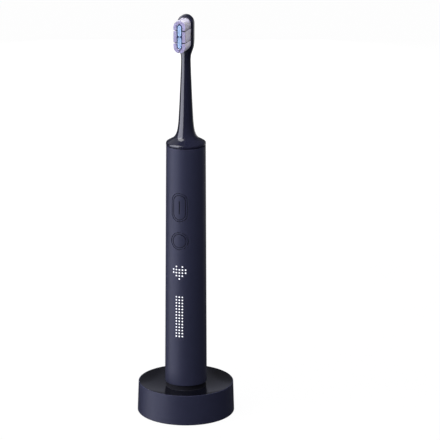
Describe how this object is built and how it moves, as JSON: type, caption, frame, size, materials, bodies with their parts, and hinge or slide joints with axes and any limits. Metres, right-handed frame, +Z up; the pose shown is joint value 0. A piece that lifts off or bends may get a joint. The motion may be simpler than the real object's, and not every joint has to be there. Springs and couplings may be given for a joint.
{
  "type": "electric toothbrush on charger",
  "caption": "Slim electric toothbrush with a slender clip-on brush head, two buttons and a dotted light display, standing upright on a round dished charger.",
  "frame": {"origin": "bottom centre of the charger, on the surface it stands on", "axes": "+Z up along the brush, -Y to the front with the buttons, display and bristles, +Y to the plug recess"},
  "size_m": [0.0658, 0.0658, 0.2757],
  "materials": {
    "navy_matte": "soft-touch matte",
    "navy_gloss": "high gloss",
    "navy_satin": "satin",
    "button_navy": "soft-touch matte",
    "black_plastic": "moulded",
    "grey_plastic": "moulded",
    "rubber_black": "matte",
    "steel": "machined",
    "nickel": "plated",
    "copper": "enamelled wire",
    "bronze": "sintered",
    "ferrite": "sintered",
    "circuit_board": "solder mask",
    "chip_black": "moulded",
    "cell_wrap": "shrink wrap over a metal can",
    "light_white": "lit diffuser",
    "led_white": "cast resin",
    "stem_white": "moulded",
    "bristle_lilac": "nylon filament",
    "bristle_blue": "nylon filament"
  },
  "bodies": {
    "charger": {"charger_cover": "navy_satin", "charger_base": "black_plastic", "charger_foot": "rubber_black", "charger_screws": "steel", "charger_board": "circuit_board", "charger_components": "chip_black", "charger_coil": "copper", "charger_core": "ferrite", "usb_socket_shell": "nickel", "usb_socket_tongue": "black_plastic"},
    "handle": {"handle_shell": "navy_matte", "handle_top_cap": "black_plastic", "shaft_seal": "rubber_black", "top_o_ring": "rubber_black", "chassis": "grey_plastic", "chassis_screws": "steel", "battery_cell": "cell_wrap", "battery_tabs": "nickel", "main_board": "circuit_board", "board_components": "chip_black", "power_switch_body": "chip_black", "mode_switch_body": "chip_black", "power_button_gasket": "rubber_black", "mode_button_gasket": "rubber_black", "display_leds": "led_white", "display_light_guide": "light_white", "handle_bottom_cap": "black_plastic", "bottom_o_ring": "rubber_black", "receiver_coil": "copper", "receiver_core": "ferrite", "motor_housing": "steel", "motor_end_caps": "black_plastic", "motor_bearings": "bronze", "stator_core": "steel", "stator_coils": "copper"},
    "power_key": {"power_button": "button_navy", "power_switch_stem": "stem_white"},
    "mode_key": {"mode_button": "button_navy", "mode_switch_stem": "stem_white"},
    "drive": {"drive_shaft": "steel", "rotor_core": "steel", "rotor_magnets": "nickel"},
    "brush_head": {"head_shell": "navy_gloss", "shaft_sleeve": "steel", "outer_bristles": "bristle_lilac", "inner_bristles": "bristle_blue"}
  },
  "joints": [
    {"name": "handle_lift", "type": "slide", "parent": "charger", "child": "handle", "axis": [0, 0, 1], "range_m": [0, 0.08]},
    {"name": "shaft_swing", "type": "hinge", "parent": "handle", "child": "drive", "pos_m": [0, 0, 0.1872], "axis": [0, 0, 1], "range_deg": [-5, 5], "stiffness_Nm_per_rad": 0.4},
    {"name": "brush_head_pull", "type": "slide", "parent": "drive", "child": "brush_head", "axis": [0, 0, 1], "range_m": [0, 0.025]},
    {"name": "power_button_press", "type": "slide", "parent": "handle", "child": "power_key", "axis": [0, 1, 0], "range_m": [0, 0.00035], "stiffness_N_per_m": 2000},
    {"name": "mode_button_press", "type": "slide", "parent": "handle", "child": "mode_key", "axis": [0, 1, 0], "range_m": [0, 0.00035], "stiffness_N_per_m": 2000}
  ]
}
